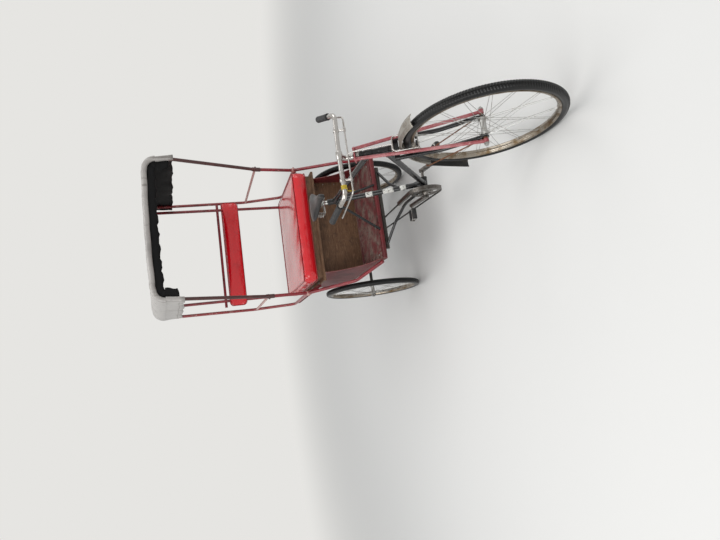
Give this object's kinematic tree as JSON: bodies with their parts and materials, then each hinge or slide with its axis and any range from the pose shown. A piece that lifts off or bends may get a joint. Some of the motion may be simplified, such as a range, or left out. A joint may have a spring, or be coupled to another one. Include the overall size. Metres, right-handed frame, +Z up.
{
  "type": "cycle rickshaw",
  "caption": "Pedalled passenger tricycle: steered front wheel, driven rear axle with leaf springs, two-seat bench body and a hood on bent tubes.",
  "frame": {"origin": "on the ground below the middle of the vehicle's length and width", "axes": "+X forward, towards the steered wheel; +Y to the driver's left; +Z up"},
  "size_m": [2.645, 0.986, 1.96],
  "materials": {
    "tyre": "matt treaded rubber",
    "wheel_plate": "worn plating with rust in the rim well",
    "axle_steel": "oily steel",
    "bright_plate": "scratched bright plating",
    "pedal_rubber": "matt",
    "chain_steel": "oily and dull",
    "black_enamel": "glossy enamel, chipped",
    "saddle_cover": "smooth black",
    "dark_red": "glossy paint, worn",
    "spring_steel": "dark, greasy",
    "painted_red": "gloss paint, scuffed and dusty",
    "plywood": "worn brown plywood",
    "brown_red": "dark paint, worn",
    "worn_bar": "pale paint worn to the primer",
    "hood_cover": "light grey coated cloth, black inside",
    "seat_cover": "bright red glossy coated cloth",
    "faded_red": "sun-faded pink-red paint",
    "mudguard_steel": "silver paint over black",
    "black_rubber": "matt",
    "rusty_rod": "brown rust",
    "grip_rubber": "matt"
  },
  "bodies": {
    "chassis": {"chain": "chain_steel", "chain_guard": "bright_plate", "head_tube": "black_enamel", "seat_tube": "black_enamel", "down_tube": "black_enamel", "top_tube": "black_enamel", "frame_stays": "black_enamel", "seat_post": "axle_steel", "saddle": "saddle_cover", "chassis_rails": "dark_red", "cross_members": "dark_red", "axle_bearings": "axle_steel", "leaf_springs": "spring_steel", "floor_pan": "painted_red", "front_rail": "painted_red", "side_sheets": "painted_red", "back_sheet": "painted_red", "seat_board": "plywood", "seat_deck": "plywood", "rear_hoop": "dark_red", "front_hoop": "brown_red", "side_pillars": "painted_red", "armrests": "worn_bar", "tube_brackets": "dark_red", "hood_slats": "black_enamel", "hood": "hood_cover", "backrest_posts": "dark_red", "backrest_rail": "dark_red", "backrest_pad": "seat_cover", "seat_cushion": "seat_cover"},
    "steering": {"fork": "black_enamel", "truss_fork": "faded_red", "front_axle": "axle_steel", "front_mudguard": "mudguard_steel", "mud_flap": "black_rubber", "mudguard_stay": "rusty_rod", "handlebar": "bright_plate", "grips": "grip_rubber", "brake_rods": "bright_plate"},
    "front_wheel_set": {"front_wheel": "wheel_plate", "front_tyre": "tyre"},
    "rear_axle_set": {"axle_shaft": "axle_steel", "sprocket": "axle_steel", "rear_right_wheel": "wheel_plate", "rear_right_tyre": "tyre"},
    "rear_left_wheel_set": {"rear_left_wheel": "wheel_plate", "rear_left_tyre": "tyre"},
    "crank_set": {"chainring": "bright_plate", "cranks": "bright_plate"},
    "right_pedal": {"pedal_right": "pedal_rubber"},
    "left_pedal": {"pedal_left": "pedal_rubber"}
  },
  "joints": [
    {"name": "steer", "type": "hinge", "parent": "chassis", "child": "steering", "pos_m": [0.91312, 0, 0.32964], "axis": [-0.4226, 0, 0.9063], "range_deg": [-55, 55]},
    {"name": "front_wheel_spin", "type": "hinge", "parent": "steering", "child": "front_wheel_set", "pos_m": [0.9675, 0, 0.355], "axis": [0, 1, 0], "continuous": true},
    {"name": "rear_axle_spin", "type": "hinge", "parent": "chassis", "child": "rear_axle_set", "pos_m": [-0.8225, 0, 0.355], "axis": [0, 1, 0], "continuous": true},
    {"name": "rear_left_wheel_spin", "type": "hinge", "parent": "rear_axle_set", "child": "rear_left_wheel_set", "pos_m": [-0.8225, 0.435, 0.355], "axis": [0, 1, 0], "continuous": true},
    {"name": "crank_spin", "type": "hinge", "parent": "chassis", "child": "crank_set", "pos_m": [0.2625, 0, 0.33], "axis": [0, 1, 0], "continuous": true},
    {"name": "right_pedal_spin", "type": "hinge", "parent": "crank_set", "child": "right_pedal", "pos_m": [0.09911, -0.134, 0.35296], "axis": [0, 1, 0], "continuous": true},
    {"name": "left_pedal_spin", "type": "hinge", "parent": "crank_set", "child": "left_pedal", "pos_m": [0.42589, 0.134, 0.30704], "axis": [0, 1, 0], "continuous": true}
  ]
}
